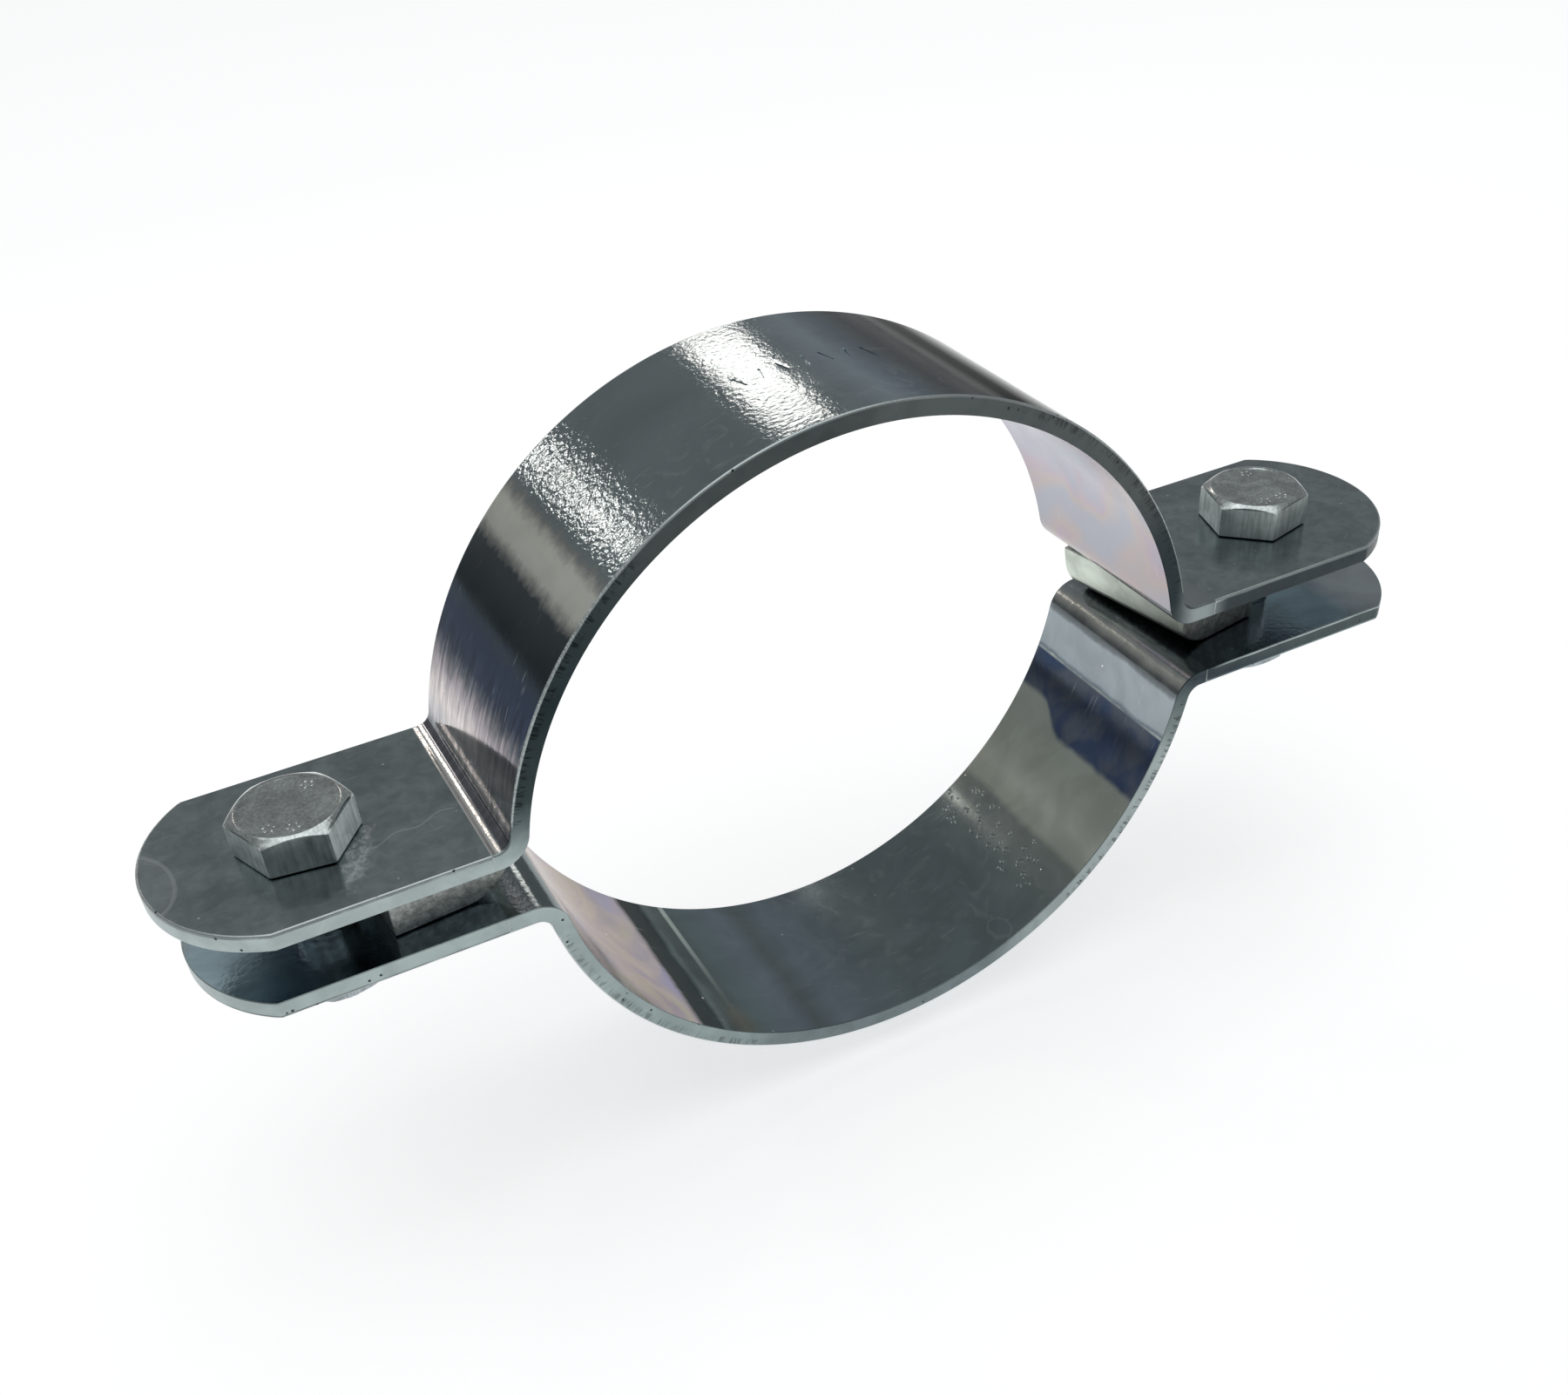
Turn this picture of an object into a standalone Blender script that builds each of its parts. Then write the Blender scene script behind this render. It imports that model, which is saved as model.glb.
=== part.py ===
"""Two-piece bolted pipe clamp, pressed from flat zinc-plated steel strip.

World frame, in metres: the origin is the middle of the pipe space, +Y runs along the
pipe, +X points along the ears and +Z is up along the bolts. Left means -X.
The upper half stays still. The lower half hangs on the two nuts and can drop along -Z as
they are unscrewed. Each bolt turns in the plain holes of the ears.
"""
import math

import bmesh
import bpy

MM = 0.001

# Strip that both halves are pressed from.
STRIP_WIDTH = 40.0 * MM
STRIP_THICKNESS = 3.0 * MM
PIPE_RADIUS = 60.0 * MM          # inner radius of both arcs
BEND_RADIUS = 2.5 * MM           # hollow side of the bend between arc and ear
EAR_TIP_RADIUS = 22.7 * MM       # rounding of the ear's end, seen from above
EAR_TIP_SHIFT = 1.3 * MM         # the rounding is centred this far off the strip's middle
HOLE_RADIUS = 5.75 * MM
BOLT_X = 91.0 * MM               # the bolts stand at -BOLT_X and +BOLT_X

# Each half as it leaves the press, drawn with its arc upwards: the middle of the arc (x, z),
# the x of its left and right ear tips, and the height of each ear's pipe-side face.
UPPER_HALF = {"arc": (-1.9 * MM, -2.0 * MM), "tips": (-114.9 * MM, 115.8 * MM),
              "ears": (5.25 * MM, 5.25 * MM)}
LOWER_HALF = {"arc": (1.7 * MM, -3.0 * MM), "tips": (-112.4 * MM, 116.8 * MM),
              "ears": (4.1 * MM, 5.9 * MM)}

# M10 hexagon bolt, nut and flat washer.
ACROSS_FLATS = 17.0 * MM
HEAD_HEIGHT = 6.4 * MM
FACE_RADIUS = 8.0 * MM           # radius of the round flat left by the 30 degree chamfer
CHAMFER_SLOPE = math.tan(math.radians(30.0))
THREAD_RADIUS = 5.0 * MM
BOLT_LENGTH = 30.0 * MM          # below the head
END_CHAMFER = 0.9 * MM
NUT_HEIGHT = 8.4 * MM
NUT_BORE_RADIUS = 5.08 * MM
WASHER_RADIUS = 10.0 * MM
WASHER_BORE_RADIUS = 5.3 * MM
WASHER_THICKNESS = 2.0 * MM

# Loose spacer between the ears: a flat block with its lower pipe-side edge rounded off.
SPACER_LENGTH = 21.0 * MM        # along X
SPACER_DEPTH = 29.0 * MM         # along Y
SPACER_ROUND = 9.0 * MM
SPACER_DRAFT = math.radians(8.0)

# How the two sides were put together, with turns about Z in degrees.
SIDES = {
    "left": {"outward": -1, "head_turn": -8.2, "nut_turn": 11.0,
             "spacer_turn": 5.1, "spacer_at": (-73.9 * MM, 0.2 * MM)},
    "right": {"outward": 1, "head_turn": 14.6, "nut_turn": -6.0,
              "spacer_turn": 9.4, "spacer_at": (72.1 * MM, 2.6 * MM)},
}

TOUCH_GAP = 0.2 * MM             # left between pieces that rest on each other
ARC_STEPS = 60
BEND_STEPS = 6
TIP_STEPS = 9
CORNER_STEPS = 2
SPACER_STEPS = 8
ROUND_STEPS = 48                 # around bolts, nuts and washers; a multiple of 12


def clear_scene():
    """Remove whatever the open file holds."""
    for old in list(bpy.data.objects):
        bpy.data.objects.remove(old, do_unlink=True)


def make_material(name, color, roughness):
    """Plated steel with the given colour and roughness."""
    material = bpy.data.materials.new(name)
    material.use_nodes = True
    shader = material.node_tree.nodes["Principled BSDF"]
    shader.inputs["Base Color"].default_value = (*color, 1.0)
    shader.inputs["Metallic"].default_value = 1.0
    shader.inputs["Roughness"].default_value = roughness
    material.diffuse_color = (*color, 1.0)
    return material


def mesh_object(name, mesh_builder, material, smooth_angle=30.0):
    """Turn a bmesh into a named object with outward normals."""
    bmesh.ops.recalc_face_normals(mesh_builder, faces=mesh_builder.faces)
    mesh = bpy.data.meshes.new(name)
    mesh_builder.to_mesh(mesh)
    mesh_builder.free()
    mesh.materials.append(material)
    for polygon in mesh.polygons:
        polygon.use_smooth = True
    mesh.set_sharp_from_angle(angle=math.radians(smooth_angle))
    thing = bpy.data.objects.new(name, mesh)
    bpy.context.scene.collection.objects.link(thing)
    return thing


def arc_points(center, radius, start, stop, steps):
    """Points on an arc in the XZ plane; angles run from +X towards +Z."""
    angles = [start + (stop - start) * step / steps for step in range(steps + 1)]
    return [(center[0] + radius * math.cos(a), center[1] + radius * math.sin(a)) for a in angles]


def bend_geometry(arc, ear_height, side):
    """Middle of the bend between arc and ear, and the angle at which it meets the arc."""
    height = ear_height + STRIP_THICKNESS + BEND_RADIUS
    reach = PIPE_RADIUS + STRIP_THICKNESS + BEND_RADIUS
    offset = side * math.sqrt(reach ** 2 - (height - arc[1]) ** 2)
    angle = math.atan2(height - arc[1], offset)
    return (arc[0] + offset, height), angle


def strip_line(shape, outer):
    """One skin of a half from its left bend over the arc to its right bend."""
    arc_radius = PIPE_RADIUS + (STRIP_THICKNESS if outer else 0.0)
    bend_radius = BEND_RADIUS + (0.0 if outer else STRIP_THICKNESS)
    left_middle, left_angle = bend_geometry(shape["arc"], shape["ears"][0], -1)
    right_middle, right_angle = bend_geometry(shape["arc"], shape["ears"][1], 1)
    left = arc_points(left_middle, bend_radius, -math.pi / 2, left_angle - math.pi, BEND_STEPS)
    over = arc_points(shape["arc"], arc_radius, left_angle, right_angle, ARC_STEPS)
    right = arc_points(right_middle, bend_radius, right_angle - math.pi, -math.pi / 2, BEND_STEPS)
    return left + over[1:-1] + right


def ear_stations(tip, height, side):
    """Cuts across an ear's rounded end from corner to tip: outer point, inner point, y from, y to."""
    half_width = 0.5 * STRIP_WIDTH
    middle = tip - side * EAR_TIP_RADIUS
    front_corner = math.asin((half_width + EAR_TIP_SHIFT) / EAR_TIP_RADIUS)
    back_corner = math.asin((half_width - EAR_TIP_SHIFT) / EAR_TIP_RADIUS)
    angles = [front_corner + (back_corner - front_corner) * step / CORNER_STEPS
              for step in range(CORNER_STEPS)]
    angles += [back_corner * (1.0 - step / TIP_STEPS) for step in range(TIP_STEPS)]
    stations = []
    for angle in angles:
        x = middle + side * EAR_TIP_RADIUS * math.cos(angle)
        reach = EAR_TIP_RADIUS * math.sin(angle)
        stations.append(((x, height + STRIP_THICKNESS), (x, height),
                         max(EAR_TIP_SHIFT - reach, -half_width),
                         min(EAR_TIP_SHIFT + reach, half_width)))
    return stations


def half_stations(shape):
    """Every cut across the strip, from the left ear's tip to the right ear's tip."""
    left_ear = ear_stations(shape["tips"][0], shape["ears"][0], -1)
    right_ear = ear_stations(shape["tips"][1], shape["ears"][1], 1)
    middle = [(outer, inner, -0.5 * STRIP_WIDTH, 0.5 * STRIP_WIDTH)
              for outer, inner in zip(strip_line(shape, True), strip_line(shape, False))]
    return left_ear[::-1] + middle + right_ear


def half_clamp(name, shape, up, material):
    """Pressed half: ears, bends and arc in one strip, with a bolt hole through each ear."""
    builder = bmesh.new()
    cuts = []
    for outer, inner, y_from, y_to in half_stations(shape):
        corners = ((outer, y_from), (outer, y_to), (inner, y_to), (inner, y_from))
        cuts.append([builder.verts.new((point[0], up * y, up * point[1])) for point, y in corners])
    for first, second in zip(cuts, cuts[1:]):
        for side in range(4):
            after = (side + 1) % 4
            builder.faces.new((first[side], first[after], second[after], second[side]))
    for cut, tip, height in ((cuts[0], shape["tips"][0], shape["ears"][0]),
                             (cuts[-1], shape["tips"][1], shape["ears"][1])):
        high = builder.verts.new((tip, up * EAR_TIP_SHIFT, up * (height + STRIP_THICKNESS)))
        low = builder.verts.new((tip, up * EAR_TIP_SHIFT, up * height))
        builder.faces.new((cut[0], cut[1], high))
        builder.faces.new((cut[1], cut[2], low, high))
        builder.faces.new((cut[2], cut[3], low))
        builder.faces.new((cut[3], cut[0], high, low))
    half = mesh_object(name, builder, material)
    drill = hole_drill(name + "_drill", up)
    cutting = half.modifiers.new("bolt holes", "BOOLEAN")
    cutting.operation = "DIFFERENCE"
    cutting.solver = "EXACT"
    cutting.object = drill
    return half


def hole_drill(name, up):
    """Hidden cutter with one plug for each bolt hole of a half."""
    depth = 4 * STRIP_THICKNESS
    builder = bmesh.new()
    for x in (-BOLT_X, BOLT_X):
        plug = bmesh.ops.create_cone(builder, cap_ends=True, segments=ROUND_STEPS, depth=depth,
                                     radius1=HOLE_RADIUS, radius2=HOLE_RADIUS)
        bmesh.ops.translate(builder, verts=plug["verts"], vec=(x, 0.0, up * depth / 2))
    drill = mesh_object(name, builder, bpy.data.materials["cutter"])
    drill.hide_render = True
    drill.display_type = "WIRE"
    return drill


def hexagon_radius(angle):
    """Distance from the middle to a hexagon's side; a corner lies at angle 0."""
    from_flat = (angle % (math.pi / 3)) - math.pi / 6
    return 0.5 * ACROSS_FLATS / math.cos(from_flat)


def ring(radius_at, height_at):
    """One closed ring of points; both arguments are functions of the angle."""
    angles = [2 * math.pi * step / ROUND_STEPS for step in range(ROUND_STEPS)]
    return [(radius_at(a) * math.cos(a), radius_at(a) * math.sin(a), height_at(a)) for a in angles]


def round_ring(radius, height):
    """A plain circle of points."""
    return ring(lambda angle: radius, lambda angle: height)


def chamfer_ring(face_height, direction):
    """The wavy line where the 30 degree chamfer meets the hexagon's sides."""
    return ring(hexagon_radius, lambda angle: face_height
                - direction * max(0.0, hexagon_radius(angle) - FACE_RADIUS) * CHAMFER_SLOPE)


def ring_body(name, rings, material, looped):
    """Skin a stack of rings; looped joins the last ring to the first, as on a nut."""
    builder = bmesh.new()
    layers = [[builder.verts.new(point) for point in points] for points in rings]
    pairs = list(zip(layers, layers[1:]))
    if looped:
        pairs.append((layers[-1], layers[0]))
    for first, second in pairs:
        for step in range(ROUND_STEPS):
            after = (step + 1) % ROUND_STEPS
            builder.faces.new((first[step], first[after], second[after], second[step]))
    if not looped:
        builder.faces.new(layers[0])
        builder.faces.new(layers[-1])
    return mesh_object(name, builder, material)


def hex_bolt(name, x, seat, turn, material):
    """Hexagon bolt, origin on its axis under the head, which rests on a face at seat."""
    rings = [
        round_ring(FACE_RADIUS, HEAD_HEIGHT),
        chamfer_ring(HEAD_HEIGHT, 1),
        ring(hexagon_radius, lambda angle: 0.0),
        round_ring(THREAD_RADIUS, 0.0),
        round_ring(THREAD_RADIUS, -BOLT_LENGTH + END_CHAMFER),
        round_ring(THREAD_RADIUS - END_CHAMFER, -BOLT_LENGTH),
    ]
    bolt = ring_body(name, rings, material, looped=False)
    bolt.location = (x, 0.0, seat + TOUCH_GAP)
    bolt.rotation_euler = (0.0, 0.0, math.radians(turn))
    return bolt


def hex_nut(name, x, seat, turn, material):
    """Hexagon nut, origin on its axis at its upper face, which bears on a face at seat."""
    rings = [
        round_ring(NUT_BORE_RADIUS, 0.0),
        round_ring(FACE_RADIUS, 0.0),
        chamfer_ring(0.0, 1),
        chamfer_ring(-NUT_HEIGHT, -1),
        round_ring(FACE_RADIUS, -NUT_HEIGHT),
        round_ring(NUT_BORE_RADIUS, -NUT_HEIGHT),
    ]
    nut = ring_body(name, rings, material, looped=True)
    nut.location = (x, 0.0, seat - TOUCH_GAP)
    nut.rotation_euler = (0.0, 0.0, math.radians(turn))
    return nut


def flat_washer(name, x, seat, material):
    """Flat washer, origin on the bolt axis at its upper face, which bears on a face at seat."""
    rings = [
        round_ring(WASHER_BORE_RADIUS, 0.0),
        round_ring(WASHER_RADIUS, 0.0),
        round_ring(WASHER_RADIUS, -WASHER_THICKNESS),
        round_ring(WASHER_BORE_RADIUS, -WASHER_THICKNESS),
    ]
    washer = ring_body(name, rings, material, looped=True)
    washer.location = (x, 0.0, seat - TOUCH_GAP)
    return washer


def spacer_outline(height):
    """Front view of a spacer with its pipe side at x = 0 and its flat foot at z = 0."""
    leaning = height - SPACER_ROUND * (1.0 - math.sin(SPACER_DRAFT))
    round_x = SPACER_ROUND * math.cos(SPACER_DRAFT) + leaning * math.tan(SPACER_DRAFT)
    edge = arc_points((round_x, SPACER_ROUND), SPACER_ROUND,
                      -math.pi / 2, -math.pi + SPACER_DRAFT, SPACER_STEPS)
    return [(SPACER_LENGTH, height), (SPACER_LENGTH, 0.0)] + edge + [(0.0, height)]


def spacer(name, outward, middle, foot, height, turn, material):
    """Loose block that keeps the ears apart, standing on the lower ear at foot."""
    builder = bmesh.new()
    outline = [(outward * (x - SPACER_LENGTH / 2), z) for x, z in spacer_outline(height)]
    front = [builder.verts.new((x, -SPACER_DEPTH / 2, z)) for x, z in outline]
    back = [builder.verts.new((x, SPACER_DEPTH / 2, z)) for x, z in outline]
    builder.faces.new(front)
    builder.faces.new(back)
    for step in range(len(outline)):
        after = (step + 1) % len(outline)
        builder.faces.new((front[step], front[after], back[after], back[step]))
    block = mesh_object(name, builder, material)
    block.location = (middle[0], middle[1], foot + TOUCH_GAP)
    block.rotation_euler = (0.0, 0.0, math.radians(turn))
    return block


def build():
    """Model every piece where it sits when the clamp is bolted together."""
    clear_scene()
    make_material("cutter", (0.8, 0.2, 0.2), 0.5)
    strap_zinc = make_material("strap_zinc", (0.36, 0.39, 0.40), 0.28)
    bolt_zinc = make_material("bolt_zinc", (0.52, 0.55, 0.55), 0.25)
    nut_zinc = make_material("nut_zinc", (0.50, 0.53, 0.54), 0.30)
    washer_zinc = make_material("washer_zinc", (0.48, 0.50, 0.51), 0.32)
    spacer_zinc = make_material("spacer_zinc", (0.42, 0.44, 0.42), 0.38)
    half_clamp("upper_half_clamp", UPPER_HALF, 1, strap_zinc)
    half_clamp("lower_half_clamp", LOWER_HALF, -1, strap_zinc)
    for index, (side, place) in enumerate(SIDES.items()):
        x = place["outward"] * BOLT_X
        roof = UPPER_HALF["ears"][index]
        floor = -LOWER_HALF["ears"][index]
        under_ear = floor - STRIP_THICKNESS
        under_washer = under_ear - TOUCH_GAP - WASHER_THICKNESS
        hex_bolt("hex_bolt_" + side, x, roof + STRIP_THICKNESS, place["head_turn"], bolt_zinc)
        flat_washer("washer_" + side, x, under_ear, washer_zinc)
        hex_nut("hex_nut_" + side, x, under_washer, place["nut_turn"], nut_zinc)
        spacer("spacer_" + side, place["outward"], place["spacer_at"], floor,
               roof - floor - 2 * TOUCH_GAP, place["spacer_turn"], spacer_zinc)


build()
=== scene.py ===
"""Looks of the two-piece bolted pipe clamp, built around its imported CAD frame.

Metres, in the CAD's own frame: +Y runs along the pipe, +X along the ears and +Z up the bolts.
Every CAD piece is replaced by a finer mesh of the same size with a procedural zinc finish.
"""

from math import asin, atan2, cos, pi, radians, sin, sqrt, tan

import bmesh
import bpy
from mathutils import Matrix, Vector


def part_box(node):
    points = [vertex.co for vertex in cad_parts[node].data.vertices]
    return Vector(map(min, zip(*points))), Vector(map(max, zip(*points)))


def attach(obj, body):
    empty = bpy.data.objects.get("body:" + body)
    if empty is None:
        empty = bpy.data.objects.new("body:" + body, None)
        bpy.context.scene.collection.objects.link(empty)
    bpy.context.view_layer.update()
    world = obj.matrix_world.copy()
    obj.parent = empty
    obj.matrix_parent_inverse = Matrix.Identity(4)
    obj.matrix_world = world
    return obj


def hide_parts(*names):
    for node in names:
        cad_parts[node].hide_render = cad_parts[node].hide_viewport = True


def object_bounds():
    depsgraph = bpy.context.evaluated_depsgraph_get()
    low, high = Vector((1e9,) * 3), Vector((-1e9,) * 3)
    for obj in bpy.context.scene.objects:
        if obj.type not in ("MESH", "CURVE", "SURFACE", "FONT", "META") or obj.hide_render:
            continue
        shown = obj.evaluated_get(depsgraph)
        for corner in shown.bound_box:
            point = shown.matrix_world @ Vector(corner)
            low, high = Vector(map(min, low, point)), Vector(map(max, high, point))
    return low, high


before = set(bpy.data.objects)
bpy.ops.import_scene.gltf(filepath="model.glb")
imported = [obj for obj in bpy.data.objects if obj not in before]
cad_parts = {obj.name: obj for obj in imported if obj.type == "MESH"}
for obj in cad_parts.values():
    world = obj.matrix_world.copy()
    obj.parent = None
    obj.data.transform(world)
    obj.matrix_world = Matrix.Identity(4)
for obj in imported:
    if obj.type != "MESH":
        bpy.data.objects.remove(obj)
CAD_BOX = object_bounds()
MM = 0.001

# Pressed strip, in the CAD's sizes; the two arrises are finer than the CAD.
STRIP_THICKNESS = 3.0 * MM
PIPE_RADIUS = 60.0 * MM
BEND_RADIUS = 2.5 * MM
EAR_TIP_RADIUS = 22.7 * MM
EAR_TIP_SHIFT = 1.3 * MM
HOLE_RADIUS = 5.75 * MM
ARC_X = {"upper": -1.9 * MM, "lower": 1.7 * MM}
ROLLED_EDGE = 0.4 * MM           # arris that the punch rolled over, on the outer skin
SHEARED_EDGE = 0.18 * MM         # sharper arris on the pipe side

# M10 bolt, nut and washer.
ACROSS_FLATS = 17.0 * MM
HEX_CORNER_RADIUS = 9.72 * MM
HEAD_HEIGHT = 6.4 * MM
FACE_RADIUS = 8.0 * MM
DISH_RADIUS = 7.3 * MM
DISH_DEPTH = 0.16 * MM
CHAMFER_SLOPE = tan(radians(30.0))
THREAD_RADIUS = 5.0 * MM
THREAD_ROOT = 4.15 * MM
PITCH = 1.5 * MM
BOLT_LENGTH = 30.0 * MM
END_CHAMFER = 0.9 * MM
NUT_BORE_RADIUS = 5.08 * MM
WASHER_RADIUS = 10.0 * MM
WASHER_BORE_RADIUS = 5.3 * MM
EDGE_BREAK = 0.14 * MM
DIE_MARK_X = 66.15 * MM          # groove at the foot of the upper left bend
DIE_MARK_DEPTH = 0.12            # millimetres
DIE_MARK_REACH = 0.75 * MM       # from the groove's middle to its side

# Row of plain tally strokes stamped on the crown.
STROKE_COUNT = 8
STROKE_LENGTH = 3.6 * MM
STROKE_WIDTH = 0.34 * MM
STROKE_DEPTH = 0.18 * MM
STROKE_LEANS = (12.0, -11.0)     # degrees from the crown, first and last stroke

SPACER_LENGTH = 21.0 * MM
SPACER_DEPTH = 29.0 * MM
SPACER_ROUND = 9.0 * MM
SPACER_DRAFT = radians(8.0)
SPACER_EDGE = 0.35 * MM
TOUCH_GAP = 0.2 * MM
SLIDE_TRAVEL = 6.0 * MM          # the lower half drops this far as the nuts are slackened

TURNS = {"left": {"outward": -1, "head": -8.2, "nut": 11.0, "spacer": 5.1},
         "right": {"outward": 1, "head": 14.6, "nut": -6.0, "spacer": 9.4}}

SPACER_TONES = {"left": 0.40, "right": 0.22}

# Painted light and shade on the head's visible sides: brightness by compass direction in degrees from the
# bolt's own +X.
HEAD_FLANK_LIGHT = {"left": ((-150.0, 1.3), (-90.0, 0.95), (-30.0, 1.9)),
               "right": ((150.0, 1.6), (-150.0, 1.1), (-90.0, 1.1))}
# Sides painted this much brighter also get a rougher, less metallic finish that spreads the painted
# light.
LIT_ROUGHER_ABOVE = 1.0                # sides brighter than this are rougher
LIT_DULLER_ABOVE = 1.5               # and beyond this they also lose most of their metallic shine

# Middle of each ring of raised dots on a bolt head, and its turn in radians.
PIP_RINGS = ((-3.2 * MM, -4.6 * MM, 0.2), (0.3 * MM, -5.6 * MM, 0.9), (3.4 * MM, 4.4 * MM, 0.5))

# Fineness of the meshes.
ARC_CUTS = 140
BEND_CUTS = 14
EAR_CUTS = 6
TIP_CUTS = 30
ACROSS_CUTS = 8
HEXAGON_STEPS = 192
WASHER_STEPS = 128
THREAD_STEPS = 12                # rows for each turn of the thread
SHARP_ANGLE = radians(38.0)

# What the metal mirrors: the soft sky, the lamps and the pale floor.
SKY_LIGHT = 0.27
WARM_LAMP = (1.0, 0.87, 0.80)
NEUTRAL_LAMP = (0.97, 1.0, 1.0)
FLOOR_GLOW = 0.55                # keeps the floor nearly white under the soft lamps

# Lamps behind the clamp: name, place, size, power in watts and turn in degrees.
NARROW_LAMPS = (("band_right", (0.196, 0.60, 0.386), (0.126, 0.118), 0.175, 14.6),
                ("band_left", (-0.262, 0.60, 0.332), (0.062, 0.105), 0.125, -38.0),
                ("glint", (-0.330, 0.60, 0.468), (0.024, 0.030), 0.009, -38.0))


# ---- procedural metals

class Paint:
    """One procedural metal. Each method adds a node and returns its output."""

    def __init__(self, name):
        self.material = bpy.data.materials.new(name)
        self.material.use_nodes = True
        self.tree = self.material.node_tree
        self.shader = self.tree.nodes["Principled BSDF"]
        self.shader.inputs["Metallic"].default_value = 1.0
        self.place = self.add("ShaderNodeTexCoord").outputs["Object"]
        self.x, self.y, self.z = self.add("ShaderNodeSeparateXYZ", Vector=self.place).outputs

    def put(self, socket, value):
        """Link a node output to a socket, or set the socket to a plain value."""
        if isinstance(value, bpy.types.NodeSocket):
            self.tree.links.new(value, socket)
        elif socket.type == "RGBA":
            socket.default_value = (*value, 1.0)
        else:
            socket.default_value = value

    def add(self, kind, **values):
        """Add a node and fill in its inputs by name."""
        node = self.tree.nodes.new(kind)
        for name, value in values.items():
            self.put(node.inputs[name], value)
        return node

    def math(self, operation, first, second=0.0):
        node = self.tree.nodes.new("ShaderNodeMath")
        node.operation = operation
        self.put(node.inputs[0], first)
        self.put(node.inputs[1], second)
        return node.outputs[0]

    def plus(self, first, second):
        return self.math("ADD", first, second)

    def minus(self, first, second):
        return self.math("SUBTRACT", first, second)

    def times(self, first, second):
        return self.math("MULTIPLY", first, second)

    def length(self, first, second):
        """Length of a flat vector."""
        return self.math("SQRT", self.plus(self.times(first, first), self.times(second, second)))

    def noise(self, size, detail=2.0, grit=0.5, stretch=(1.0, 1.0, 1.0), shift=(0.0, 0.0, 0.0), warp=0.0):
        """Cloud noise whose features are about size metres across."""
        place = self.add("ShaderNodeMapping", Vector=self.place, Scale=stretch, Location=shift).outputs[0]
        node = self.add("ShaderNodeTexNoise", Vector=place, Scale=0.5 / size,
                        Detail=detail, Roughness=grit, Distortion=warp)
        return node.outputs[0]

    def multiply(self, first, second):
        """Product of two colours."""
        node = self.tree.nodes.new("ShaderNodeVectorMath")
        node.operation = "MULTIPLY"
        self.put(node.inputs[0], first)
        self.put(node.inputs[1], second)
        return node.outputs[0]

    def level(self, value, low, high, start=0.0, end=1.0):
        """Smooth step from start at low to end at high."""
        node = self.tree.nodes.new("ShaderNodeMapRange")
        node.interpolation_type = "SMOOTHSTEP"
        for index, setting in enumerate((value, low, high, start, end)):
            self.put(node.inputs[index], setting)
        return node.outputs[0]

    def window(self, value, low, high, soft):
        """One between low and high, falling to nothing over soft on each side."""
        rise = self.level(value, low - soft, low)
        fall = self.level(value, high, high + soft, 1.0, 0.0)
        return self.times(rise, fall)

    def mix(self, amount, first, second):
        """Blend two colours."""
        node = self.tree.nodes.new("ShaderNodeMix")
        node.data_type = "RGBA"
        self.put(node.inputs[0], amount)
        self.put(node.inputs[6], first)
        self.put(node.inputs[7], second)
        return node.outputs[2]

    def ramp(self, value, low, high, stops):
        """Colour that follows value through stops of (value, colour)."""
        span = self.math("DIVIDE", self.minus(value, low), high - low)
        node = self.tree.nodes.new("ShaderNodeValToRGB")
        points = node.color_ramp.elements
        while len(points) < len(stops):
            points.new(0.5)
        for point, (at, colour) in zip(points, stops):
            point.position = (at - low) / (high - low)
            point.color = (*colour, 1.0)
        self.put(node.inputs[0], span)
        return node.outputs[0]

    def specks(self, size, share, radius=0.25):
        """Small round spots, one in some of the cells of a size-metre pattern."""
        node = self.add("ShaderNodeTexVoronoi", Vector=self.place, Scale=1.0 / size)
        spot = self.level(node.outputs["Distance"], radius * 0.5, radius, 1.0, 0.0)
        pick = self.add("ShaderNodeSeparateColor", Color=node.outputs["Color"]).outputs[0]
        return self.times(spot, self.math("LESS_THAN", pick, share))

    def ellipse(self, across, along, centre, radii):
        """Distance from an ellipse's centre, one at its outline."""
        first = self.math("DIVIDE", self.minus(across, centre[0]), radii[0])
        second = self.math("DIVIDE", self.minus(along, centre[1]), radii[1])
        return self.length(first, second)

    def scale(self, colour, amount):
        """Colour made brighter or darker by a number or an output."""
        node = self.tree.nodes.new("ShaderNodeVectorMath")
        node.operation = "SCALE"
        self.put(node.inputs[0], colour)
        self.put(node.inputs["Scale"], amount)
        return node.outputs[0]

    def cloud_level(self, size, start, end, detail=3.0, shift=(0.0, 0.0, 0.0)):
        """Number that drifts from start to end with a cloud noise."""
        return self.level(self.noise(size, detail, shift=shift), 0.3, 0.7, start, end)

    def cloudy(self, colour, size, depth, shift=(0.0, 0.0, 0.0), warp=0.6):
        """Mottle a colour by plus or minus depth."""
        cloud = self.noise(size, 3.0, 0.55, shift=shift, warp=warp)
        return self.scale(colour, self.level(cloud, 0.32, 0.68, 1.0 - depth, 1.0 + depth))

    def glance(self, value, tones):
        """Dim what the metal mirrors where it is seen edge-on, by tones along a value."""
        stops = [(at, (tone, tone, tone)) for at, tone in tones]
        self.put(self.shader.inputs["Specular Tint"], self.ramp(value, -90.0, 90.0, stops))

    def finish(self, colour, roughness, height):
        """Wire colour, roughness and a height in millimetres to the shader; return the material."""
        bump = self.add("ShaderNodeBump", Height=height, Distance=MM)
        self.put(self.shader.inputs["Base Color"], colour)
        self.put(self.shader.inputs["Roughness"], roughness)
        self.put(self.shader.inputs["Normal"], bump.outputs[0])
        return self.material


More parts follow.
